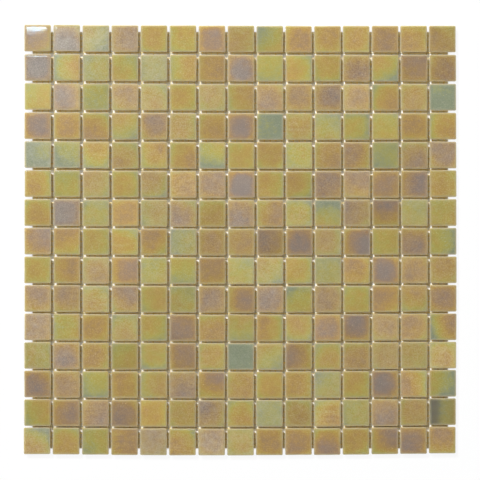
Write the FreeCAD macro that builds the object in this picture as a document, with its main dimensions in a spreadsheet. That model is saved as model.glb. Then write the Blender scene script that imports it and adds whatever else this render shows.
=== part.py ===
"""Mosaic tile sheet: 15 rows of 15 pressed glass chips on a laid glass-fibre mesh.

Frame: millimetres, +Z up. The sheet lies flat, chip faces up, with the underside of its mesh
on Z = 0 and the middle of the sheet on the Z axis. The rows run along X, and row 1 is the one
at the far edge (+Y).
"""
import FreeCAD, Part
import os
import Sketcher

DRIVING_SIZES = {
    # The chips, and how they are spaced
    "chip_columns": 15,
    "chip_rows": 15,
    "chip_side": 20.0,          # face of one chip, from side to side
    "chip_thickness": 4.0,      # from the back to the face
    "joint_width": 1.8,         # gap between the faces of two chips
    # The form of one chip, as its mould gives it
    "side_draft": 18.0,         # degrees by which the sides lean in towards the back
    "edge_ease_width": 1.1,     # eased edge of the face, measured across the face
    "edge_ease_drop": 0.6,      # the same edge, measured down the side
    "groove_count": 3,          # key grooves across the back
    "groove_spacing": 5.0,
    "groove_width": 2.0,
    "groove_depth": 0.7,
    # The mesh: flat rovings, the weft laid on the warp
    "mesh_side_margin": 6.0,    # from the chips' outer edge in to the mesh, left and right
    "mesh_end_margin": 4.5,     # the same at the near and far edges
    "warp_spacing": 4.4,        # between threads that run along Y
    "weft_spacing": 4.2,        # between threads that run along X
    "thread_width": 0.9,
    "thread_thickness": 0.2,
}

# Lengths that follow from the driving sizes, as expressions
PITCH = "(sizes.chip_side + sizes.joint_width)"
FIELD_WIDTH = f"(sizes.chip_columns * {PITCH} - sizes.joint_width)"
FIELD_DEPTH = f"(sizes.chip_rows * {PITCH} - sizes.joint_width)"
MESH_WIDTH = f"({FIELD_WIDTH} - 2 * sizes.mesh_side_margin)"
MESH_DEPTH = f"({FIELD_DEPTH} - 2 * sizes.mesh_end_margin)"
PARTING_HEIGHT = "(sizes.chip_thickness - sizes.edge_ease_drop)"
EDGE_EASE_SLOPE = "-atan(sizes.edge_ease_width / sizes.edge_ease_drop)"

ORIGIN_POINT = (-1, 1)    # a sketch's own origin, as its constraints name it
START, END = 1, 2         # the two ends of a line in a sketch


def make_sizes(doc):
    """Spreadsheet that holds the driving sizes, each under its own name."""
    sheet = doc.addObject("Spreadsheet::Sheet", "sizes")
    for row, (name, value) in enumerate(DRIVING_SIZES.items(), start=1):
        sheet.set(f"A{row}", name)
        sheet.set(f"B{row}", str(value))
        sheet.setAlias(f"B{row}", name)
    doc.recompute()


def bind(feature, expressions):
    """Drive a feature's properties, given as property: expression."""
    for name, expression in expressions.items():
        feature.setExpression(name, expression)


def add_body(doc, label, place):
    """Body for one sub-part, placed by an expression for each axis."""
    body = doc.addObject("PartDesign::Body", label)
    body.Label = label
    bind(body, {f"Placement.Base.{axis}": where for axis, where in place.items()})
    return body


def origin_feature(body, role):
    """A plane or axis of the body's own origin, by its role."""
    return next(item for item in body.Origin.OriginFeatures if item.Role == role)


def add_sketch(body, name, plane, offset):
    """Empty sketch on one of the body's own planes, shifted in that plane or off it."""
    sketch = body.newObject("Sketcher::SketchObject", name)
    sketch.AttachmentSupport = [(origin_feature(body, plane), "")]
    sketch.MapMode = "FlatFace"
    bind(sketch, {f"AttachmentOffset.Base.{axis}": shift for axis, shift in offset.items()})
    return sketch


def draw_outline(sketch, corners):
    """Closed outline of straight lines, joined end to end."""
    count = len(corners)
    for index, corner in enumerate(corners):
        start = FreeCAD.Vector(*corner, 0)
        end = FreeCAD.Vector(*corners[(index + 1) % count], 0)
        sketch.addGeometry(Part.LineSegment(start, end), False)
    for index in range(count):
        following = (index + 1) % count
        sketch.addConstraint(Sketcher.Constraint("Coincident", index, END, following, START))


def add_size(sketch, name, constraint, expression):
    """Named dimension of a sketch, driven by an expression."""
    index = sketch.addConstraint(constraint)
    sketch.renameConstraint(index, name)
    sketch.setExpression(f"Constraints.{name}", expression)


def draw_rectangle(sketch, width, depth):
    """Rectangle about the sketch's origin, with a driven width and depth."""
    draw_outline(sketch, [(-2, -1), (2, -1), (2, 1), (-2, 1)])
    near, right, far, left = range(4)
    for line in (near, far):
        sketch.addConstraint(Sketcher.Constraint("Horizontal", line))
    for line in (right, left):
        sketch.addConstraint(Sketcher.Constraint("Vertical", line))
    sketch.addConstraint(Sketcher.Constraint("Symmetric", near, START, far, START, *ORIGIN_POINT))
    add_size(sketch, "width", Sketcher.Constraint("DistanceX", near, START, near, END, 4), width)
    add_size(sketch, "depth", Sketcher.Constraint("DistanceY", right, START, right, END, 2), depth)


def draw_notch(sketch, width, depth):
    """Triangle that stands on the sketch's X axis, its point above the origin."""
    draw_outline(sketch, [(-2, 0), (2, 0), (0, 1)])
    mouth, rising = range(2)
    sketch.addConstraint(
        Sketcher.Constraint("Symmetric", mouth, START, mouth, END, *ORIGIN_POINT))
    sketch.addConstraint(Sketcher.Constraint("Horizontal", mouth))
    sketch.addConstraint(Sketcher.Constraint("PointOnObject", rising, END, -2))
    add_size(sketch, "width", Sketcher.Constraint("DistanceX", mouth, START, mouth, END, 4), width)
    add_size(sketch, "depth", Sketcher.Constraint("DistanceY", rising, START, rising, END, 1), depth)


def add_pattern(body, name, axis, spacing, count, feature=None):
    """Row of copies along one of the body's axes: of one feature, or of the body so far."""
    body.Document.recompute()
    pattern = body.newObject("PartDesign::LinearPattern", name)
    if feature:
        pattern.Originals = [feature]
    else:
        pattern.TransformMode = "Whole shape"
    pattern.Direction = (origin_feature(body, axis), [""])
    pattern.Mode = "Spacing"
    bind(pattern, {"Offset": spacing, "Occurrences": count})
    body.Tip = pattern
    return pattern


def first_of(count, spacing):
    """Where the first of a centred row of copies stands, as an expression."""
    return f"-({count} - 1) / 2 * {spacing}"


def press_chip(doc, body):
    """One glass chip about the body's Z axis, its back on the body's Z = 0.

    It is widest on its parting line. Above that its edge is eased, and below it the sides lean
    in to the back, which has key grooves across it.
    """
    outline = add_sketch(body, "parting_line", "XY_Plane", {"z": PARTING_HEIGHT})
    draw_rectangle(outline, "sizes.chip_side", "sizes.chip_side")
    blank = body.newObject("PartDesign::Pad", "blank")
    blank.Profile = outline
    blank.SideType = "Two sides"
    bind(blank, {"Length": "sizes.edge_ease_drop", "TaperAngle": EDGE_EASE_SLOPE})
    bind(blank, {"Length2": PARTING_HEIGHT, "TaperAngle2": "-sizes.side_draft"})

    first_groove = first_of("sizes.groove_count", "sizes.groove_spacing")
    section = add_sketch(body, "groove_section", "XZ_Plane", {"x": first_groove})
    draw_notch(section, "sizes.groove_width", "sizes.groove_depth")
    groove = body.newObject("PartDesign::Pocket", "groove")
    groove.Profile = section
    groove.Type = "ThroughAll"
    groove.Midplane = True
    add_pattern(body, "grooves", "X_Axis", "sizes.groove_spacing", "sizes.groove_count", groove)
    doc.recompute()
    if body.Shape.Volume >= groove.Shape.Volume or groove.Shape.Volume >= blank.Shape.Volume:
        raise ValueError(f"{body.Label}: the key grooves cut nothing")


def make_tile_row(doc, number):
    """One row of chips, spaced along X."""
    body = add_body(doc, f"tile_row_{number:02d}", {
        "x": f"(sizes.chip_side - {FIELD_WIDTH}) / 2",
        "y": f"({FIELD_DEPTH} - sizes.chip_side) / 2 - {number - 1} * {PITCH}",
        "z": "2 * sizes.thread_thickness",
    })
    press_chip(doc, body)
    add_pattern(body, "chips", "X_Axis", PITCH, "sizes.chip_columns")
    return body


def make_thread_layer(doc, label, axis, size, spacing, spread, height):
    """One layer of flat threads, spaced along an axis with one thread in the middle.

    The size is one thread's extent along X and Y, and the spread is what the layer may cover.
    """
    count = f"(2 * floor(({spread} - sizes.thread_width) / 2 / {spacing}) + 1)"
    body = add_body(doc, label, {"z": height})
    first = {axis.lower(): first_of(count, spacing)}
    section = add_sketch(body, "first_thread", "XY_Plane", first)
    draw_rectangle(section, *size)
    thread = body.newObject("PartDesign::Pad", "thread")
    thread.Profile = section
    bind(thread, {"Length": "sizes.thread_thickness"})
    add_pattern(body, "threads", f"{axis}_Axis", spacing, count)
    return body


def make_mesh(doc):
    """The carrying mesh: warp threads along Y, and weft threads along X laid on them."""
    warp = make_thread_layer(
        doc, "mesh_warp_threads", "X", ("sizes.thread_width", MESH_DEPTH),
        "sizes.warp_spacing", MESH_WIDTH, "0")
    weft = make_thread_layer(
        doc, "mesh_weft_threads", "Y", (MESH_WIDTH, "sizes.thread_width"),
        "sizes.weft_spacing", MESH_DEPTH, "sizes.thread_thickness")
    return [warp, weft]


def check(doc, bodies):
    """Stop before anything is written if an object or a sub-part has failed."""
    for item in doc.Objects:
        if {"Invalid", "Error"} & set(item.State):
            raise ValueError(f"{item.Label} has failed: {item.State}")
    for body in bodies:
        if body.Shape.isNull() or not body.Shape.isValid():
            raise ValueError(f"{body.Label} has no valid shape")


def main():
    doc = FreeCAD.newDocument("mosaic_tile_sheet")
    make_sizes(doc)
    rows = [make_tile_row(doc, number + 1) for number in range(int(doc.sizes.chip_rows))]
    bodies = rows + make_mesh(doc)
    doc.recompute()
    check(doc, bodies)
    os.makedirs("parts", exist_ok=True)
    for body in bodies:
        body.Shape.exportStep(f"parts/{body.Label}.step")
        print(f"{body.Label}: {len(body.Shape.Solids)} solids, {body.Shape.Volume:.1f} mm3")


main()
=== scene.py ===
# %% [markdown]
# A lesson: the looks of a mosaic tile sheet
#
# The sheet is 225 chips of pressed glass, glued by their backs to an open mesh of glass fibre.
# The glass is a warm amber all through, and its face carries a thin metallic film, fired on,
# that plays from gold and olive to rose, mauve and sage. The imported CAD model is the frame:
# it says where every row of chips and every layer of thread lies. Here each row and each layer
# gets a piece with the finer form, and then its finish. All lengths are in metres.

# %% The frame that everything is built around
import math
import random

import bpy
from mathutils import Matrix, Vector


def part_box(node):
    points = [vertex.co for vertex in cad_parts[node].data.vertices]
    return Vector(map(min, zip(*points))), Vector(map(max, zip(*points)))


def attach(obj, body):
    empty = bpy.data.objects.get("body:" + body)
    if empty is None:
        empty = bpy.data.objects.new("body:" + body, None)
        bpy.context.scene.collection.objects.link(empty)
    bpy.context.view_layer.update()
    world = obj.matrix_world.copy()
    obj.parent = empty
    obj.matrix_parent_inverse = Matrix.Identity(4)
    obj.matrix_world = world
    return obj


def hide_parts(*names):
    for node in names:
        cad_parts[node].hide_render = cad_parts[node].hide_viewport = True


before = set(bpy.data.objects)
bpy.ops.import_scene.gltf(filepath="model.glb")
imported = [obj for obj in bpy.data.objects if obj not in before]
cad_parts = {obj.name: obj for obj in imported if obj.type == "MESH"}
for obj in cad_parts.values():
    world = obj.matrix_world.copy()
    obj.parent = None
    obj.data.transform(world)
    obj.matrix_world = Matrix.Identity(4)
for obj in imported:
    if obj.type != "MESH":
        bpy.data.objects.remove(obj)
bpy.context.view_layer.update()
BODY = "root"

# %% [markdown]
# The main sizes aren't typed in again. They are measured on the CAD nodes, so that a change
# there carries through to the looks: the chip, the distance from one chip to the next and,
# where they are needed, the boxes of the two layers of thread.

# %% Sizes read from the frame
MM = 0.001
row_nodes = sorted(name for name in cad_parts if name.startswith("tile_row_"))
row_low, row_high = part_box(row_nodes[0])
next_row_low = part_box(row_nodes[1])[0]
chip_side = row_high.y - row_low.y
chip_back = row_low.z
chip_face = row_high.z
pitch = row_low.y - next_row_low.y
row_count = len(row_nodes)
column_count = round((row_high.x - row_low.x - chip_side) / pitch) + 1
print(f"{row_count} rows of {column_count} chips, {chip_side / MM:.1f} mm on {pitch / MM:.1f} mm")

# %% [markdown]
# Before the first piece come four small helpers for modelling. Operators act on all that is
# selected, and the frame comes with everything selected, so each step starts by choosing just
# one object, and within it just the faces or edges that it means, by their place or direction.

# %% Helpers: choosing what an operator acts on
def activate(piece):
    """Make one object the only selected one, ready for an operator."""
    bpy.ops.object.select_all(action="DESELECT")
    piece.select_set(True)
    bpy.context.view_layer.objects.active = piece


def pick_faces(piece, wanted):
    """Enter edit mode with just the faces selected for which wanted(centre, normal) holds."""
    activate(piece)
    bpy.context.tool_settings.mesh_select_mode = (False, False, True)
    for item in (*piece.data.vertices, *piece.data.edges, *piece.data.polygons):
        item.select = False
    for face in piece.data.polygons:
        face.select = wanted(face.center, face.normal)
    bpy.ops.object.mode_set(mode="EDIT")


def pick_edges(piece, wanted):
    """Enter edit mode with just the edges selected for which wanted(start, end) holds."""
    activate(piece)
    bpy.context.tool_settings.mesh_select_mode = (False, True, False)
    for item in (*piece.data.vertices, *piece.data.edges, *piece.data.polygons):
        item.select = False
    for edge in piece.data.edges:
        start, end = (piece.data.vertices[index].co for index in edge.vertices)
        edge.select = wanted(start, end)
    bpy.ops.object.mode_set(mode="EDIT")


def leave_edit_mode():
    """Go back to object mode, which writes the edit into the mesh."""
    bpy.ops.object.mode_set(mode="OBJECT")


# %% [markdown]
# Three more helpers finish a piece and repeat it. A modifier is applied as soon as it is added,
# so that what comes next works on its result. A copy gets its own mesh, and on its points the
# values that set it apart. Joining makes one piece of many, and each keeps its values.

# %% Helpers: modifiers, copies and joining
def apply_modifier(piece, kind, **settings):
    """Add a modifier to a piece and apply it at once."""
    modifier = piece.modifiers.new(kind.lower(), kind)
    for name, value in settings.items():
        setattr(modifier, name, value)
    activate(piece)
    bpy.ops.object.modifier_apply(modifier=modifier.name)


def copy_of(model, nature):
    """A copy of a model with its own mesh, whose points all carry the values in nature."""
    piece = model.copy()
    piece.data = model.data.copy()
    bpy.context.collection.objects.link(piece)
    for name, value in nature.items():
        layer = piece.data.attributes.new(name, "FLOAT", "POINT")
        layer.data.foreach_set("value", [value] * len(piece.data.vertices))
    return piece


def join(pieces, name):
    """Join pieces into one piece of the given name."""
    activate(pieces[0])
    for piece in pieces:
        piece.select_set(True)
    bpy.ops.object.join()
    joined = bpy.context.object
    joined.name = name
    joined.data.name = name
    return joined


# %% [markdown]
# A pressed chip is widest on the line where the two halves of its mould met. Below that line
# the sides lean in to the back, so that grout locks behind the face. It could be sculpted, or
# bevelled as a whole, but a chip is plain enough to model as the mould makes it: a block, its
# back drawn in, and its four upright edges bevelled to a small radius.

# %% One chip: the pressed block
PARTING_HEIGHT = 3.54 * MM
BACK_DRAW_IN = 1.1 * MM
CORNER_RADIUS = 0.85 * MM
CORNER_SEGMENTS = 2

bpy.ops.object.select_all(action="DESELECT")
bpy.ops.mesh.primitive_cube_add(size=1, location=(0, 0, PARTING_HEIGHT / 2),
                                scale=(chip_side, chip_side, PARTING_HEIGHT))
bpy.ops.object.transform_apply(location=True, rotation=False, scale=True)
chip = bpy.context.object
chip.name = "chip_model"
back_ratio = 1 - 2 * BACK_DRAW_IN / chip_side
pick_faces(chip, lambda centre, normal: normal.z < -0.5)
bpy.ops.transform.resize(value=(back_ratio, back_ratio, 1))
leave_edit_mode()
pick_edges(chip, lambda start, end: abs(start.z - end.z) > PARTING_HEIGHT / 2)
bpy.ops.mesh.bevel(offset=CORNER_RADIUS, segments=CORNER_SEGMENTS, affect="EDGES")
leave_edit_mode()
print("Pressed block:", len(chip.data.polygons), "faces")

# %% [markdown]
# Above the parting line the fire has drawn the edge over into a soft, low round. The top face
# is pulled up and in, in a few steps along a quarter of an ellipse, which is what someone
# would do by hand with extrude and scale. The chip stays a hair thinner than its CAD solid,
# so that it can sit a little tilted inside the same box.

# %% One chip: the fire-rounded edge of its face
CHIP_THICKNESS = 3.72 * MM
EDGE_ROUND_WIDTH = 2.8 * MM
ROUND_STEPS = 4

pick_faces(chip, lambda centre, normal: normal.z > 0.5)
edge_round_height = CHIP_THICKNESS - PARTING_HEIGHT
half_side = chip_side / 2
for step in range(1, ROUND_STEPS + 1):
    before = math.radians(90 * (step - 1) / ROUND_STEPS)
    after = math.radians(90 * step / ROUND_STEPS)
    rise = edge_round_height * (math.sin(after) - math.sin(before))
    last_half = half_side
    half_side = chip_side / 2 - EDGE_ROUND_WIDTH * (1 - math.cos(after))
    bpy.ops.mesh.extrude_region_move(TRANSFORM_OT_translate={"value": (0, 0, rise)})
    bpy.ops.transform.resize(value=(half_side / last_half, half_side / last_half, 1))
leave_edit_mode()
print("Rounded chip:", len(chip.data.polygons), "faces")

# %% [markdown]
# The back has three key grooves, pressed in by ribs in the mould, which give the adhesive a
# hold. Each is cut with a three-sided prism lying along Y. The prism is twice the size of the
# groove and half sunk, so that no face of it lies in the plane of the back, which booleans
# don't like, and it is longer than the chip. The cutter is then thrown away.

# %% One chip: key grooves in the back
GROOVE_SPACING = 5 * MM
GROOVE_WIDTH = 2 * MM
GROOVE_DEPTH = 0.7 * MM
cutter_length = 1.2 * chip_side

for place in (-GROOVE_SPACING, 0, GROOVE_SPACING):
    bpy.ops.mesh.primitive_cylinder_add(vertices=3, radius=1, depth=cutter_length,
                                        rotation=(math.pi / 2, 0, 0))
    bpy.ops.object.transform_apply(location=False, rotation=True, scale=False)
    cutter = bpy.context.object
    width_scale = 2 * GROOVE_WIDTH / cutter.dimensions.x
    height_scale = 2 * GROOVE_DEPTH / cutter.dimensions.z
    cutter.scale = (width_scale, 1, height_scale)
    cutter.location = (place, 0, GROOVE_DEPTH - height_scale)
    apply_modifier(chip, "BOOLEAN", object=cutter, operation="DIFFERENCE", solver="EXACT")
    bpy.data.objects.remove(cutter)
print("Grooved chip:", len(chip.data.polygons), "faces")

# %% [markdown]
# The finish follows each chip, so the model carries a UV map before it is copied. It is the
# plan of the chip from above, from 0 to 1 across its face.

# %% One chip: its plan as a UV map
def add_plan(piece, name, width, length):
    """Give a piece that lies round the origin a UV map of its plan, from 0 to 1 each way."""
    layer = piece.data.uv_layers.new(name=name)
    for loop in piece.data.loops:
        spot = piece.data.vertices[loop.vertex_index].co
        layer.data[loop.index].uv = (spot.x / width + 0.5, spot.y / length + 0.5)


CHIP_PLAN = "chip_plan"
add_plan(chip, CHIP_PLAN, chip_side, chip_side)
print("UV map:", CHIP_PLAN)

# %% [markdown]
# A glued sheet is never quite regular. Laid down, this one is drawn together a little along Y,
# its rows sag towards the middle and its columns bow to the right, each by about a millimetre.
# One smooth function says where a point of the perfect sheet comes to lie, and the chips and
# the threads both follow it.

# %% How the sheet lies
DRAW_X = 0.9981
DRAW_Y = 0.9890
half_field = pitch * column_count / 2


def lie(x, y):
    """Where a point of the perfect sheet comes to lie."""
    across = x / half_field
    along = y / half_field
    # Shifts in millimetres, with across and along from -1 to 1 over the sheet
    bow = 0.74 - 0.65 * across**2 - 0.51 * along**2 - 0.31 * across * along**2
    lean = 0.17 * along - 0.08 * across * along - 0.13 * across**3
    sag = 0.84 * across**2 + 1.44 * along**2 - 1.41
    gather = 0.42 * along**3 - 0.51 * along * across**2 - 0.40 * across * along
    return x * DRAW_X + (bow + lean) * MM, y * DRAW_Y + (sag + gather) * MM


middle_x, middle_y = lie(0, 0)
print(f"The middle of the sheet lies {middle_x / MM:.2f}, {middle_y / MM:.2f} mm off")

# %% [markdown]
# The film on the face is thinner on one chip than on the next, and its colour goes with its
# thickness. Most chips lie round the middle of the range, in gold. The others run to mauve,
# rose, olive, sage or teal, and their places are given by row and column, counted from the top
# left. On the mauve and rose ones the film is thinnest about the middle, and their edges stay
# gold. A few chips are also milky or streaked, one is glossier, and one is dark with smoke. On
# a few pearly ones near the top left corner the milky haze is a painted sheen.

# %% The film on each chip: where it isn't plain gold
MAUVE_CHIPS = {(1, 2), (1, 7), (2, 1), (2, 8), (3, 2), (4, 1), (4, 5), (4, 8), (6, 8), (7, 2),
               (8, 10), (8, 12), (9, 13), (11, 12), (13, 13), (15, 14)}
ROSE_CHIPS = {(1, 1), (1, 4), (2, 7), (2, 12), (2, 14), (3, 9), (3, 11), (3, 12), (5, 12),
              (6, 7), (6, 13), (6, 14), (7, 8), (7, 13), (8, 1), (8, 9), (8, 14), (9, 4),
              (9, 14), (10, 7), (10, 8), (10, 9), (10, 11), (10, 13), (11, 11), (11, 13),
              (12, 6), (12, 10), (13, 1), (13, 6), (14, 2), (14, 3), (14, 4), (14, 7), (14, 13),
              (15, 4), (15, 11)}
OLIVE_CHIPS = {(1, 3), (1, 9), (2, 3), (2, 4), (3, 1), (4, 13), (5, 10), (6, 2), (7, 3), (7, 14),
               (7, 15), (8, 13), (9, 5), (9, 6), (9, 8), (11, 2), (11, 8), (12, 1), (12, 4),
               (12, 9), (14, 1), (14, 9), (14, 12)}
SAGE_CHIPS = {(2, 5), (2, 9), (3, 3), (4, 11), (5, 2), (5, 7), (5, 13), (7, 11), (8, 6), (9, 9),
              (9, 11), (10, 10), (13, 3), (13, 11), (13, 15), (14, 15), (15, 3)}
TEAL_CHIPS = {(3, 15), (4, 9), (5, 1), (12, 8)}
# on the five near the top left corner the extra haze is a painted sheen, on the others milky
# glass
MILKY_AND_SHEENED_CHIPS = {(1, 2), (1, 3), (1, 4), (2, 1), (2, 5), (9, 3), (11, 1), (15, 5), (15, 7)}
GLOSSY_CHIPS = {(1, 1)}
STREAKED_CHIPS = {(8, 4), (10, 3), (15, 4), (15, 6)}
SMOKED_CHIPS = {(14, 15)}
FILM_KINDS = [    # places, mean thickness, its spread, and how much thinner in the middle
    (MAUVE_CHIPS, 0.38, 0.05, 0.28),
    (ROSE_CHIPS, 0.46, 0.05, 0.18),
    (OLIVE_CHIPS, 0.75, 0.04, 0.04),
    (SAGE_CHIPS, 0.84, 0.04, 0.05),
    (TEAL_CHIPS, 1.05, 0.03, 0.05),
]
GOLD_FILM = (0.63, 0.10, 0.16)
print("Chips in other colours than gold:", sum(len(places) for places, *film in FILM_KINDS))

# %% [markdown]
# What sets a chip apart is drawn from a seeded series, so that each run gives the same sheet:
# how thick its film is and which way it leans, how strong the thin bloom in the middle is, how
# milky, streaked and dark the chip is, and a seed that shifts its patterns. The milky haze also
# carries a painted sheen on a few chips near the top left corner. These become values on its
# points, which one material can read for all 225 chips.

# %% The film on each chip: the draws
LEAN_DRAW = (0, 0.095)    # mean and spread, as in the next three
HAZE_DRAW = (0.05, 0.10)
STREAK_DRAW = (0.1, 0.4)
TONE_DRAW = (0.905, 0.06)
BLOOM_RANGE = (0.7, 1.3)
MOST_HAZE = 0.18
EXTRA_HAZE_AND_SHEEN = 0.20
STREAKED_MORE = 1.3
GLOSS = 0.26
HIGH_GLOSS = 0.55
SERIES = 21
draws = random.Random(SERIES)


def film_of(place):
    """Mean thickness, spread and thinning of the film on the chip at a place."""
    for places, *film in FILM_KINDS:
        if place in places:
            return film
    return GOLD_FILM


def chip_nature(place):
    """What sets one chip apart from the next, as values that its material reads."""
    mean, spread, thinning = film_of(place)
    # near the top left corner this extra haze is a painted sheen
    extra_haze_and_sheen = EXTRA_HAZE_AND_SHEEN if place in MILKY_AND_SHEENED_CHIPS else 0
    streaked = STREAKED_MORE if place in STREAKED_CHIPS else 0
    return {
        "film": draws.gauss(mean, spread),
        "lean_x": draws.gauss(*LEAN_DRAW),
        "lean_y": draws.gauss(*LEAN_DRAW),
        "bloom": thinning * draws.uniform(*BLOOM_RANGE),
        "haze": min(MOST_HAZE, max(0, draws.gauss(*HAZE_DRAW))) + extra_haze_and_sheen,
        "gloss": HIGH_GLOSS if place in GLOSSY_CHIPS else GLOSS,
        "streak": max(0, draws.gauss(*STREAK_DRAW)) + streaked,
        "smoke": 1.0 if place in SMOKED_CHIPS else 0.0,
        "tone": draws.gauss(*TONE_DRAW),
        "seed": draws.random(),
    }


def either_way(most):
    """A draw from -most to most."""
    return draws.uniform(-most, most)


# %% [markdown]
# Each chip is a copy of the one model with its own mesh, a hair out of square, turned, tilted
# and off its place, as it left the mould and the gluing. A row of them is joined into one
# piece, as it is one node of the frame. Weighted normals keep the flat face flat in its
# shading, and let only the rounded edge curve.

# %% The rows of chips
OFF_SQUARE = 0.07 * MM
OFF_PLACE = 0.13 * MM
TURN = math.radians(0.35)
TILT = math.radians(0.22)
SMOOTH_ANGLE = math.radians(40)
LIFT = 0.08 * MM    # off the mesh, so that a tilted chip doesn't dip into it


def place_chip(row, column):
    """One chip in its place on the sheet."""
    piece = copy_of(chip, chip_nature((row, column)))
    skew_x = either_way(OFF_SQUARE)
    skew_y = either_way(OFF_SQUARE)
    for vertex in piece.data.vertices:
        corner = vertex.co.x * vertex.co.y / (chip_side / 2) ** 2
        vertex.co += Vector((skew_x * corner, skew_y * corner, 0))
    x, y = lie((column - (column_count + 1) / 2) * pitch, ((row_count + 1) / 2 - row) * pitch)
    place = Vector((x + either_way(OFF_PLACE), y + either_way(OFF_PLACE), chip_back + LIFT))
    turn = Matrix.Rotation(either_way(TURN), 4, "Z")
    tilt = Matrix.Rotation(either_way(TILT), 4, "X")
    roll = Matrix.Rotation(either_way(TILT), 4, "Y")
    piece.data.transform(Matrix.Translation(place) @ turn @ tilt @ roll)
    return piece


rows = []
for number, node in enumerate(row_nodes, start=1):
    chips = [place_chip(number, column) for column in range(1, column_count + 1)]
    row = join(chips, f"{node}_chips")
    bpy.ops.object.shade_smooth_by_angle(angle=SMOOTH_ANGLE)
    apply_modifier(row, "WEIGHTED_NORMAL", keep_sharp=True)
    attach(row, BODY)
    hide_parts(node)
    rows.append(row)
bpy.data.objects.remove(chip)
print(len(rows), "rows of", len(rows[0].data.polygons), "faces")

# %% [markdown]
# The mesh is two layers of roving, a loose ribbon of glass fibres: the warp runs along Y and
# the weft lies across it. A roving has no twist, so it spreads flat to the section of a lens.
# A curve with a bevel would do for one, but here a six-sided rod is flattened and cut into
# short lengths, because its points can then wander and swell as a real one does.

# %% One roving, along Y
ROVING_WIDTH = 0.9 * MM
ROVING_CUTS = 35
ROVING_RUN = "roving_run"
warp_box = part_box("mesh_warp_threads")
weft_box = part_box("mesh_weft_threads")
roving_thickness = warp_box[1].z - warp_box[0].z
print(f"A roving is {ROVING_WIDTH / MM:.1f} mm wide and {roving_thickness / MM:.1f} mm thick")


def roving_model(length):
    """A straight roving of the given length, round the origin, with a UV map along it."""
    bpy.ops.object.select_all(action="DESELECT")
    bpy.ops.mesh.primitive_cylinder_add(vertices=6, radius=0.5, depth=length,
                                        rotation=(math.pi / 2, math.pi / 6, 0))
    bpy.ops.object.transform_apply(location=False, rotation=True, scale=False)
    model = bpy.context.object
    model.scale = (ROVING_WIDTH / model.dimensions.x, 1, roving_thickness / model.dimensions.z)
    bpy.ops.object.transform_apply(location=False, rotation=False, scale=True)
    pick_edges(model, lambda start, end: abs(start.y - end.y) > length / 2)
    bpy.ops.mesh.subdivide(number_cuts=ROVING_CUTS)
    leave_edit_mode()
    add_plan(model, ROVING_RUN, ROVING_WIDTH, length)
    return model


# %% [markdown]
# A layer is many copies of its roving, at an even spacing. Each wanders from its line by a
# tenth or two of a millimetre in slow and quick waves, swells and narrows, and is cut off a
# little long or short. The weft is the same roving turned a quarter, and both follow the lie of
# the sheet.

# %% The two layers of roving
WARP_SPACING = 4.4 * MM
WEFT_SPACING = 4.2 * MM
WANDER = 0.16 * MM
SLOW_WAVE = 61 * MM
SLOW_SHARE = 0.7
QUICK_WAVE = 17 * MM
QUICK_SHARE = 0.3
SWELL = 0.14
CUT_OFF = 0.25 * MM


def lay_roving(model, line, level, turned):
    """One roving of a layer, on its line, which is an x, or a y where it is turned."""
    piece = copy_of(model, {"seed": draws.random()})
    slow = draws.uniform(0, math.tau)
    quick = draws.uniform(0, math.tau)
    shift = either_way(CUT_OFF)
    for vertex in piece.data.vertices:
        along = vertex.co.y + shift
        wave = math.sin(math.tau * along / SLOW_WAVE + slow)
        ripple = math.sin(math.tau * along / QUICK_WAVE + quick)
        wander = WANDER * (SLOW_SHARE * wave + QUICK_SHARE * ripple)
        across = line + wander + vertex.co.x * (1 + SWELL * ripple)
        x, y = lie(along, across) if turned else lie(across, along)
        vertex.co = (x, y, level + vertex.co.z)
    if turned:
        piece.data.flip_normals()    # swapping x and y has mirrored it
    return piece


def lay_layer(name, node_box, spacing, turned):
    """A whole layer of rovings, joined, in the box of its CAD node."""
    low, high = node_box
    span, length = high.x - low.x, high.y - low.y
    if turned:
        span, length = length, span
    count = round((span - ROVING_WIDTH) / spacing) + 1
    model = roving_model(length)
    level = (low.z + high.z) / 2
    rovings = [lay_roving(model, (index - (count - 1) / 2) * spacing, level, turned)
               for index in range(count)]
    layer = join(rovings, name)
    bpy.ops.object.shade_smooth_by_angle(angle=SMOOTH_ANGLE)
    bpy.data.objects.remove(model)
    print(f"{name}: {count} rovings of {length / MM:.0f} mm, {len(layer.data.polygons)} faces")
    return layer


warp = lay_layer("mesh_warp_rovings", warp_box, WARP_SPACING, turned=False)
weft = lay_layer("mesh_weft_rovings", weft_box, WEFT_SPACING, turned=True)
for layer, node in ((warp, "mesh_warp_threads"), (weft, "mesh_weft_threads")):
    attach(layer, BODY)
    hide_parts(node)

# %% [markdown]
# Now the finishes. Shader maths gets long when every Math node is made by hand. A small class
# wraps one socket, and its operators add the Math nodes, so that a mask can be written as
# 1 - edge * 2. Any other node comes from one method, which takes the node's type, its
# settings, the values or links of its inputs, and the name of the output that is wanted.

# %% Arithmetic on sockets
class Shade:
    """A socket in a material's nodes, with arithmetic that adds the nodes it stands for."""

    def __init__(self, tree, socket=None):
        self.tree = tree
        self.socket = socket

    def node(self, kind, settings=None, inputs=None, output=0):
        """Add a node of any type and give one of its outputs."""
        made = self.tree.nodes.new(kind)
        for name, value in (settings or {}).items():
            if name == "stops":
                set_stops(made.color_ramp, value)
            else:
                setattr(made, name, value)
        for key, value in (inputs or {}).items():
            if isinstance(value, Shade):
                self.tree.links.new(value.socket, made.inputs[key])
            else:
                made.inputs[key].default_value = value
        return Shade(self.tree, made.outputs[output] if made.outputs else None)

    def math(self, operation, *operands):
        """Add a Math node."""
        return self.node("ShaderNodeMath", {"operation": operation}, dict(enumerate(operands)))

    def __add__(self, other):
        return self.math("ADD", self, other)

    def __sub__(self, other):
        return self.math("SUBTRACT", self, other)

    def __rsub__(self, other):
        return self.math("SUBTRACT", other, self)

    def __mul__(self, other):
        return self.math("MULTIPLY", self, other)

    def __gt__(self, other):
        return self.math("GREATER_THAN", self, other)

    def __abs__(self):
        return self.math("ABSOLUTE", self)

    __radd__ = __add__
    __rmul__ = __mul__


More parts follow.
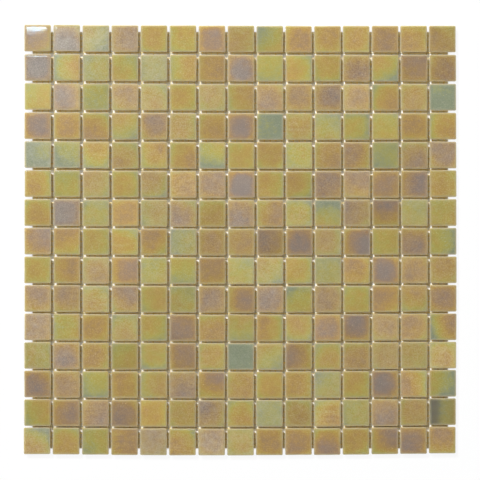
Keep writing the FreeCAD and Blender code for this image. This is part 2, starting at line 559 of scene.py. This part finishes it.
def set_stops(ramp, stops):
    """Fill a colour ramp with (position, colour) stops."""
    while len(ramp.elements) > 1:
        ramp.elements.remove(ramp.elements[-1])
    ramp.elements[0].position = stops[0][0]
    ramp.elements[0].color = stops[0][1]
    for position, colour in stops[1:]:
        ramp.elements.new(position).color = colour


# %% [markdown]
# A few steps come back in every finish: one axis of a vector, a soft threshold, a mix of two
# colours, a colour made lighter or darker, and noise of a given grain size. Each gets a short
# function, so that a finish below reads like its description.

# %% Steps that every finish uses
def part_of(vector, axis):
    """One axis of a vector."""
    return vector.node("ShaderNodeSeparateXYZ", inputs={0: vector}, output=axis)


def greater_of(first, second):
    """The greater of two values."""
    return first.math("MAXIMUM", first, second)


def smooth_step(value, low, high):
    """0 below low, 1 above high, and a soft rise between them."""
    settings = {"interpolation_type": "SMOOTHSTEP"}
    return value.node("ShaderNodeMapRange", settings, {0: value, 1: low, 2: high})


def blend_colours(factor, first, second):
    """The first colour where the factor is 0, and the second where it is 1."""
    # Of the Mix node's many sockets, 6 and 7 take colours, and output 2 gives one
    settings = {"data_type": "RGBA"}
    return factor.node("ShaderNodeMix", settings, {0: factor, 6: first, 7: second}, output=2)


def lighten(colour, level):
    """A colour times a level, which may change over the surface."""
    inputs = {0: colour, "Scale": level}
    return colour.node("ShaderNodeVectorMath", {"operation": "SCALE"}, inputs)


def noise(places, grain_size, detail=2):
    """Soft noise round 0, with features of about the grain size."""
    inputs = {"Vector": places, "Scale": 1 / grain_size, "Detail": detail, "Roughness": 0.55}
    return places.node("ShaderNodeTexNoise", inputs=inputs) - 0.5


def attribute(shade, name):
    """A value that a chip or a roving carries on its points."""
    return shade.node("ShaderNodeAttribute", {"attribute_name": name}, output="Fac")


def srgb(red, green, blue):
    """A colour as it is seen on screen, 0 to 255, as the linear values that shaders take."""
    def linear(level):
        level = level / 255
        return level / 12.92 if level <= 0.04045 else ((level + 0.055) / 1.055) ** 2.4
    return (linear(red), linear(green), linear(blue), 1.0)


def new_material(name):
    """A node material without nodes yet, and the Shade that its nodes start from."""
    material = bpy.data.materials.new(name)
    material.use_nodes = True
    material.node_tree.nodes.clear()
    return material, Shade(material.node_tree)


def give_material(pieces, material):
    """Put a material on pieces, in place of any that they have."""
    for piece in pieces:
        piece.data.materials.clear()
        piece.data.materials.append(material)
    print(material.name, "on", len(pieces), "pieces,", len(material.node_tree.nodes), "nodes")


# %% [markdown]
# The glass. Its face and eased edge carry the film, so their colour is read from a ramp that
# runs through the colours of the film as it thickens: mauve, rose, ochre, gold, olive, sage
# and teal. Five things make the film uneven: it leans to one side, it is thinner in a bloom
# about the middle, it is cloudy and mottled, some chips are streaked, and all of it is grained.

# %% Finish of the glass: the thickness of the film
FILM_COLOURS = [
    (0.00, srgb(143, 130, 120)),
    (0.12, srgb(147, 129, 116)),
    (0.24, srgb(159, 132, 104)),
    (0.34, srgb(167, 136, 92)),
    (0.46, srgb(179, 146, 78)),
    (0.60, srgb(181, 157, 78)),
    (0.74, srgb(175, 165, 82)),
    (0.88, srgb(163, 162, 105)),
    (1.00, srgb(139, 146, 119)),
]
CLOUD_SIZE = 13 * MM
MOTTLE_SIZE = 3 * MM
STREAK_WIDTH = 1.8 * MM
STREAK_STRETCH = (0.12, 1, 1)
BLOOM_FADE = (-0.1, 1.0)
CLOUDS_IN_FILM = 0.42    # how far the thickness follows each pattern
MOTTLE_IN_FILM = 0.26
STREAKS_IN_FILM = 0.25
GRAIN_IN_FILM = 0.3
print(len(FILM_COLOURS), "stops in the colours of the film")


def film_streaks(shade, places):
    """Soft streaks, drawn out across the chip and a little askew, strong on only some chips."""
    askew = shade.node("ShaderNodeCombineXYZ", inputs={"Z": attribute(shade, "seed") - 0.5})
    stretched = shade.node("ShaderNodeMapping", inputs={
        "Vector": places, "Rotation": askew, "Scale": STREAK_STRETCH})
    return noise(stretched, STREAK_WIDTH) * attribute(shade, "streak")


def film_thickness(shade, places, across, along, streaks, grain):
    """How thick the film is at a point, from 0, mauve, to 1, teal."""
    clouds = noise(places, CLOUD_SIZE, 3)
    mottle = noise(places, MOTTLE_SIZE)
    off_middle = abs(across * across * across) + abs(along * along * along)
    middle = 1 - smooth_step(off_middle, *BLOOM_FADE)
    lean = across * attribute(shade, "lean_x") + along * attribute(shade, "lean_y")
    thickness = attribute(shade, "film") + lean - middle * attribute(shade, "bloom")
    uneven = thickness + clouds * CLOUDS_IN_FILM + mottle * MOTTLE_IN_FILM
    return uneven + streaks * STREAKS_IN_FILM + grain * GRAIN_IN_FILM


# %% [markdown]
# The colour of a chip is then the film's, veiled with a pale haze where it is milky, and on a
# few chips near the top left corner with the same haze as a painted sheen. It is a little
# lighter and darker in clouds, with fine grain and a scatter of tiny pale seeds: gas bubbles
# that opened at the surface, painted pale as glints. Along the rim the film is worn thin, and
# the rim is painted paler, as wear and as a painted sheen on the eased edge. On one chip smoke
# has darkened a band.

# %% Finish of the glass: the colour of the face
# the pale haze: milky glass, and on a few chips near the top left corner a painted sheen
HAZE_AND_SHEEN_COLOUR = srgb(206, 197, 180)
HAZE_PATCH_SIZE = 5 * MM
HAZE_PATCHES = 1.5
HAZE_SPECK_SIZE = 2.5 * MM
HAZE_SPECKS = 0.3
GRAIN_IN_HAZE = 0.7
STREAKS_IN_HAZE = 0.3
TONE_CLOUD_SIZE = 9 * MM
CLOUDS_IN_TONE = 0.20
GRAIN_IN_TONE = 0.4
SMOKE_COLOUR = srgb(104, 95, 82)
SMOKE_STARTS = (-1.15, -0.70)    # across the chip, from -1, left, to 1, right
SMOKE_ENDS = (-0.60, 0.15)
SMOKE_ALL_OVER = 0.3
SMOKE_IN_BAND = 0.5
# pale rim colour: partly worn film, partly a painted sheen on the eased edge
WORN_AND_SHEEN_RIM = srgb(178, 167, 142)
# pale specks of opened bubbles, painted as glints
SEED_GLINT_COLOUR = srgb(226, 212, 168)
SEED_SPACING = 1.9 * MM
SEED_EDGE = (0.06, 0.18)    # from the middle of a seed, in spacings
SEEDLESS = 0.84             # the share of cells without one
SEED_GLINT_STRENGTH = 0.6
print(f"One seed in {round(1 / (1 - SEEDLESS))} cells of {SEED_SPACING / MM:.1f} mm")


def scattered_seed_glints(places):
    """Small round specks, in a few of the cells of a Voronoi pattern."""
    inputs = {"Vector": places, "Scale": 1 / SEED_SPACING}
    distance = places.node("ShaderNodeTexVoronoi", inputs=inputs, output="Distance")
    lot = part_of(places.node("ShaderNodeTexVoronoi", inputs=inputs, output="Color"), "X")
    return (1 - smooth_step(distance, *SEED_EDGE)) * (lot > SEEDLESS)


def film_face(shade, places, across, along, wear_and_sheen, grain):
    """The colour of the face: film, milky haze and wear, with painted sheen and glints."""
    streaks = film_streaks(shade, places)
    thickness = film_thickness(shade, places, across, along, streaks, grain)
    film = shade.node("ShaderNodeValToRGB", {"stops": FILM_COLOURS}, {0: thickness})
    # milky haze, with the painted sheen of the chips near the top left corner
    milky_and_sheened = attribute(shade, "haze") * (1 + noise(places, HAZE_PATCH_SIZE) * HAZE_PATCHES)
    specks = noise(places, HAZE_SPECK_SIZE) * HAZE_SPECKS
    haze = milky_and_sheened + grain * GRAIN_IN_HAZE + streaks * STREAKS_IN_HAZE + specks
    hazed = blend_colours(haze, film, HAZE_AND_SHEEN_COLOUR)
    clouds = noise(places, TONE_CLOUD_SIZE, 3) * CLOUDS_IN_TONE
    level = attribute(shade, "tone") + clouds + grain * GRAIN_IN_TONE
    band = smooth_step(across, *SMOKE_STARTS) * (1 - smooth_step(across, *SMOKE_ENDS))
    smoke = (SMOKE_ALL_OVER + band * SMOKE_IN_BAND) * attribute(shade, "smoke")
    smoked = blend_colours(smoke, lighten(hazed, level), SMOKE_COLOUR)
    # the rim painted paler, as wear and as a painted sheen
    worn_and_sheened = blend_colours(wear_and_sheen, smoked, WORN_AND_SHEEN_RIM)
    # pale seeds, painted as glints of opened bubbles
    return blend_colours(scattered_seed_glints(places) * SEED_GLINT_STRENGTH, worn_and_sheened, SEED_GLINT_COLOUR)


# %% [markdown]
# The sides and the back are bare glass, a pale honey amber. Along the sheet's own outer edge,
# where the sides stand free in full light, a duller amber is painted on as shade, so that they
# don't glow harsher than the shaded sides in the joints. Object coordinates tell where that is,
# because every piece has its place in its mesh and sits at the origin itself.

# %% Finish of the glass: the colour of the sides
AMBER = srgb(230, 202, 102)
# painted shade: a duller amber on the sheet's outer sides, which stand in full light
OUTER_SHADE_AMBER = srgb(194, 163, 106)
OUTER_SHADE_WIDTH = 2.4 * MM
OUTER_SHADE_FADE = 1.0 * MM
outer_shade_from = row_high.x - OUTER_SHADE_WIDTH
print(f"Shaded glass starts {outer_shade_from / MM:.1f} mm from the middle")


def side_glass(sheet_places):
    """The colour of the bare sides, with a duller amber painted as shade along the sheet's own
    outer edge.
    """
    from_middle = greater_of(abs(part_of(sheet_places, "X")), abs(part_of(sheet_places, "Y")))
    # mask of the painted shade on the outer sides
    outer_shade = smooth_step(from_middle, outer_shade_from - OUTER_SHADE_FADE, outer_shade_from)
    return blend_colours(outer_shade, AMBER, OUTER_SHADE_AMBER)


# %% [markdown]
# Last come the gloss, the relief and the depth. The film runs over the parting line and fades
# out below it, raggedly, as the grain shakes the height of its end. It is faintly metallic and
# half matt. Over it lies a thin clear gloss, which is stronger in some specks than in others,
# and nearly gone on the rim. The film isn't flat: slow waves left by the fire, and a fine
# orange-peel, break up what it mirrors. Both are too shallow to model, so they are bump.
# Light goes a few millimetres into the glass, red further than blue, and comes out again,
# which is what the subsurface sockets are for.

# %% Finish of the glass: gloss, relief and depth
GRAIN_SIZE = 0.8 * MM
FILM_END = 0.7 * MM    # below the face of the CAD solid
FILM_FADE = 0.55 * MM
FILM_RAGGED = 0.6 * MM
RIM = (0.78, 0.93)    # where it sets in, from 0 in the middle of the face to 1 at its edge
LIP = (0.92, 0.99)
# how much paler the rim and lip are painted, as wear and painted sheen
RIM_WEAR_AND_SHEEN = 0.36
LIP_WEAR_AND_SHEEN = 0.45
ROUGHNESS = 0.46
RIM_ROUGHNESS = 0.08
ROUGH_PATCH_SIZE = 5 * MM
ROUGH_PATCHES = 0.2
FILM_METAL = 0.03
RIM_GLOSS_LOSS = 0.24
GLOSS_SPECK_SIZE = 1.1 * MM
WAVE_SIZE = 8 * MM
WAVE_HEIGHT = 0.030    # in millimetres, as in the next two
PEEL_HEIGHT = 0.006
GRAIN_HEIGHT = 0.003
PEEL_SIZE = 2.2 * MM
GLASS_REACH = (1.0, 0.92, 0.55)
GLASS_DEPTH = 5 * MM


def film_coated_glass():
    """The material of the chips."""
    material, shade = new_material("film_coated_glass")
    plan = shade.node("ShaderNodeUVMap", {"uv_map": CHIP_PLAN})
    across = part_of(plan, "X") * 2 - 1
    along = part_of(plan, "Y") * 2 - 1
    sheet_places = shade.node("ShaderNodeTexCoord", output="Object")
    own_shift = {0: sheet_places, 1: attribute(shade, "seed")}
    places = shade.node("ShaderNodeVectorMath", {"operation": "ADD"}, own_shift)
    grain = noise(sheet_places, GRAIN_SIZE)
    reach = greater_of(abs(across), abs(along))
    rim = smooth_step(reach, *RIM)
    lip = smooth_step(reach, *LIP)
    height = part_of(sheet_places, "Z") + grain * FILM_RAGGED
    film_end = chip_face - FILM_END
    coated = smooth_step(height, film_end - FILM_FADE, film_end)
    # the paler rim: worn film and a painted sheen on the eased edge
    wear_and_sheen = rim * RIM_WEAR_AND_SHEEN + lip * LIP_WEAR_AND_SHEEN
    face = film_face(shade, places, across, along, wear_and_sheen, grain)
    rough_patches = noise(places, ROUGH_PATCH_SIZE) * ROUGH_PATCHES
    gloss = attribute(shade, "gloss") - rim * RIM_GLOSS_LOSS + noise(places, GLOSS_SPECK_SIZE)
    waves = noise(places, WAVE_SIZE) * WAVE_HEIGHT
    peel = noise(places, PEEL_SIZE) * PEEL_HEIGHT
    bumps = waves + peel + grain * GRAIN_HEIGHT
    relief = shade.node("ShaderNodeBump", inputs={"Distance": MM, "Height": bumps})
    glass = shade.node("ShaderNodeBsdfPrincipled", inputs={
        "Base Color": blend_colours(coated, side_glass(sheet_places), face),
        "Roughness": ROUGHNESS + rim * RIM_ROUGHNESS + rough_patches,
        "Specular IOR Level": 0.2,
        "Metallic": coated * (1 - rim) * FILM_METAL,
        "Coat Weight": coated * gloss,
        "Coat Roughness": 0.045,
        "Subsurface Weight": 0.9,
        "Subsurface Radius": GLASS_REACH,
        "Subsurface Scale": GLASS_DEPTH,
        "Normal": relief,
    })
    shade.node("ShaderNodeOutputMaterial", inputs={"Surface": glass})
    return material


give_material(rows, film_coated_glass())

# %% [markdown]
# The rovings are cream-white glass fibre, soaked with the adhesive that holds the chips. Their
# fibres run along them, so the pattern reads the UV map along each roving and is stretched in
# that direction. Where more adhesive stands, the fibre is darker, warmer and glossier.

# %% Finish of the rovings
FIBRE = srgb(244, 237, 216)
SOAKED_FIBRE = srgb(226, 208, 148)
FIBRES_ACROSS = 14
PATTERN_REPEATS = 40
SOAKED_PATCH_SIZE = 6 * MM
SOAKED_EDGE = (-0.10, 0.12)
STRANDS_IN_SOAK = 0.2
STRANDS_IN_TONE = 0.3
STRAND_HEIGHT = 0.12    # in millimetres
DRY_ROUGHNESS = 0.62
SOAKED_SMOOTHER = 0.25
SOAKED_GLOSS = 0.4


def glass_fibre_roving():
    """The material of both layers of the mesh."""
    material, shade = new_material("glass_fibre_roving")
    run = shade.node("ShaderNodeUVMap", {"uv_map": ROVING_RUN})
    own_shift = {0: run, 1: attribute(shade, "seed")}
    shifted = shade.node("ShaderNodeVectorMath", {"operation": "ADD"}, own_shift)
    fibres = shade.node("ShaderNodeMapping", inputs={
        "Vector": shifted, "Scale": (FIBRES_ACROSS, PATTERN_REPEATS, 1)})
    strands = noise(fibres, 1)
    places = shade.node("ShaderNodeTexCoord", output="Object")
    patches = noise(places, SOAKED_PATCH_SIZE) + strands * STRANDS_IN_SOAK
    soaked = smooth_step(patches, *SOAKED_EDGE)
    plain = blend_colours(soaked, FIBRE, SOAKED_FIBRE)
    strand_relief = {"Distance": MM, "Height": strands * STRAND_HEIGHT}
    fibre = shade.node("ShaderNodeBsdfPrincipled", inputs={
        "Base Color": lighten(plain, 1 + strands * STRANDS_IN_TONE),
        "Roughness": DRY_ROUGHNESS - soaked * SOAKED_SMOOTHER,
        "Coat Weight": soaked * SOAKED_GLOSS,
        "Coat Roughness": 0.2,
        "Normal": shade.node("ShaderNodeBump", inputs=strand_relief),
    })
    shade.node("ShaderNodeOutputMaterial", inputs={"Surface": fibre})
    return material


give_material([warp, weft], glass_fibre_roving())

# %% [markdown]
# The floor is a plain white plane, and it keeps the soft shadow that the sheet throws. Seen
# directly, or in something glossy, it is mixed with a glow of strength 1, which is white and
# lights nothing. Under the mesh the glow is left off, so that the joints keep their depth.

# %% The floor
FLOOR_SIZE = 6.0
FLOOR_GLOW = 0.92
FLOOR_PAINT = (0.95, 0.95, 0.95, 1.0)
WHITE = (1.0, 1.0, 1.0, 1.0)


def seen_directly(shade):
    """1 for rays that show the background itself, to the camera or in gloss or glass."""
    camera = shade.node("ShaderNodeLightPath", output="Is Camera Ray")
    glossy = shade.node("ShaderNodeLightPath", output="Is Glossy Ray")
    transmitted = shade.node("ShaderNodeLightPath", output="Is Transmission Ray")
    return greater_of(camera, greater_of(glossy, transmitted))


def white_floor():
    """The material of the floor."""
    material, shade = new_material("white_floor")
    places = shade.node("ShaderNodeTexCoord", output="Object")
    mesh_reach_x = lie(weft_box[1].x, 0)[0] + CUT_OFF
    mesh_reach_y = lie(0, warp_box[1].y)[1] + CUT_OFF
    beyond_x = abs(part_of(places, "X")) > mesh_reach_x
    beyond_y = abs(part_of(places, "Y")) > mesh_reach_y
    glowing = greater_of(beyond_x, beyond_y) * seen_directly(shade) * FLOOR_GLOW
    paint = shade.node("ShaderNodeBsdfDiffuse", inputs={"Color": FLOOR_PAINT})
    glow = shade.node("ShaderNodeEmission", inputs={"Color": WHITE, "Strength": 1.0})
    mixed = shade.node("ShaderNodeMixShader", inputs={0: glowing, 1: paint, 2: glow})
    shade.node("ShaderNodeOutputMaterial", inputs={"Surface": mixed})
    return material


bpy.ops.object.select_all(action="DESELECT")
bpy.ops.mesh.primitive_plane_add(size=FLOOR_SIZE)
floor = bpy.context.object
floor.name = "floor"
give_material([floor], white_floor())

# %% [markdown]
# The light. A small lamp, far off to the upper left, gives the slanting light that reaches the
# floor only where two joints cross, and catches the top and left edge of every chip. A small
# cool window above the top left corner is mirrored in the nearest chip, and a wide soft panel
# beyond that corner lays a veil of gloss on the chips near it.

# %% Lamps
KEY_DIRECTION = Vector((-0.408, 0.614, 0.676))
KEY_DISTANCE = 5.0
KEY_SIZE = 0.16
KEY_POWER = 308
WINDOW_SIZE = 0.08
WINDOW_CORNER = Vector((-0.285, 0.320, 1.0))
WINDOW_POWER = 1.0
WINDOW_COLOUR = (0.55, 0.80, 1.0)
PANEL_SIZE = 0.50
PANEL_PLACE = Vector((-0.48, 0.44, 1.0))
PANEL_POWER = 1.9


def area_light(name, place, target, size, power, colour=(1, 1, 1)):
    """A square lamp at a place, aimed at a target."""
    data = bpy.data.lights.new(name, "AREA")
    data.size = size
    data.energy = power
    data.color = colour
    light = bpy.data.objects.new(name, data)
    bpy.context.collection.objects.link(light)
    light.location = place
    light.rotation_euler = (target - place).to_track_quat("-Z", "Y").to_euler()


sheet_middle = Vector((0, 0, chip_face))
area_light("key", KEY_DIRECTION.normalized() * KEY_DISTANCE, sheet_middle, KEY_SIZE, KEY_POWER)
window_place = WINDOW_CORNER + Vector((-WINDOW_SIZE / 2, WINDOW_SIZE / 2, 0))
below_window = window_place - Vector((0, 0, 1))
area_light("window", window_place, below_window, WINDOW_SIZE, WINDOW_POWER, WINDOW_COLOUR)
below_panel = PANEL_PLACE - Vector((0, 0, 1))
area_light("panel", PANEL_PLACE, below_panel, PANEL_SIZE, PANEL_POWER)
print("Lamps:", [light.name for light in bpy.data.lights])

# %% [markdown]
# An even pale surround fills the rest. It adds little light of its own, and is white where it
# is seen directly, so that nothing dark is mirrored in the gloss.

# %% Surround
AMBIENT = 0.13


def pale_surround():
    """An even pale world, which is white where it is seen directly."""
    world = bpy.data.worlds.new("studio")
    world.use_nodes = True
    world.node_tree.nodes.clear()
    shade = Shade(world.node_tree)
    strength = AMBIENT + seen_directly(shade) * (1 - AMBIENT)
    sky = shade.node("ShaderNodeBackground", inputs={"Color": WHITE, "Strength": strength})
    shade.node("ShaderNodeOutputWorld", inputs={"Surface": sky})
    return world


bpy.context.scene.world = pale_surround()
print("Surround at", AMBIENT)

# %% [markdown]
# The camera looks straight down on the middle of the sheet. Its height above the faces is a
# guess at a product photographer's distance, and the lens is worked out from the width that
# the photograph takes in.

# %% Camera
VIEW_HEIGHT = 1.0
VIEW_WIDTH = 0.3602
SENSOR_WIDTH = 36
CAMERA_X = -0.17 * MM
CAMERA_Y = 0.17 * MM

camera_data = bpy.data.cameras.new("camera")
camera_data.sensor_width = SENSOR_WIDTH
camera_data.lens = SENSOR_WIDTH * VIEW_HEIGHT / VIEW_WIDTH
camera = bpy.data.objects.new("camera", camera_data)
bpy.context.collection.objects.link(camera)
camera.location = (CAMERA_X, CAMERA_Y, chip_face + VIEW_HEIGHT)
bpy.context.scene.camera = camera
print(f"Lens {camera_data.lens:.0f} mm")

# %% [markdown]
# The last line sets plain colour, so that a colour is seen as it is written.

# %% Colour management and the end
bpy.context.scene.view_settings.view_transform = "Standard"
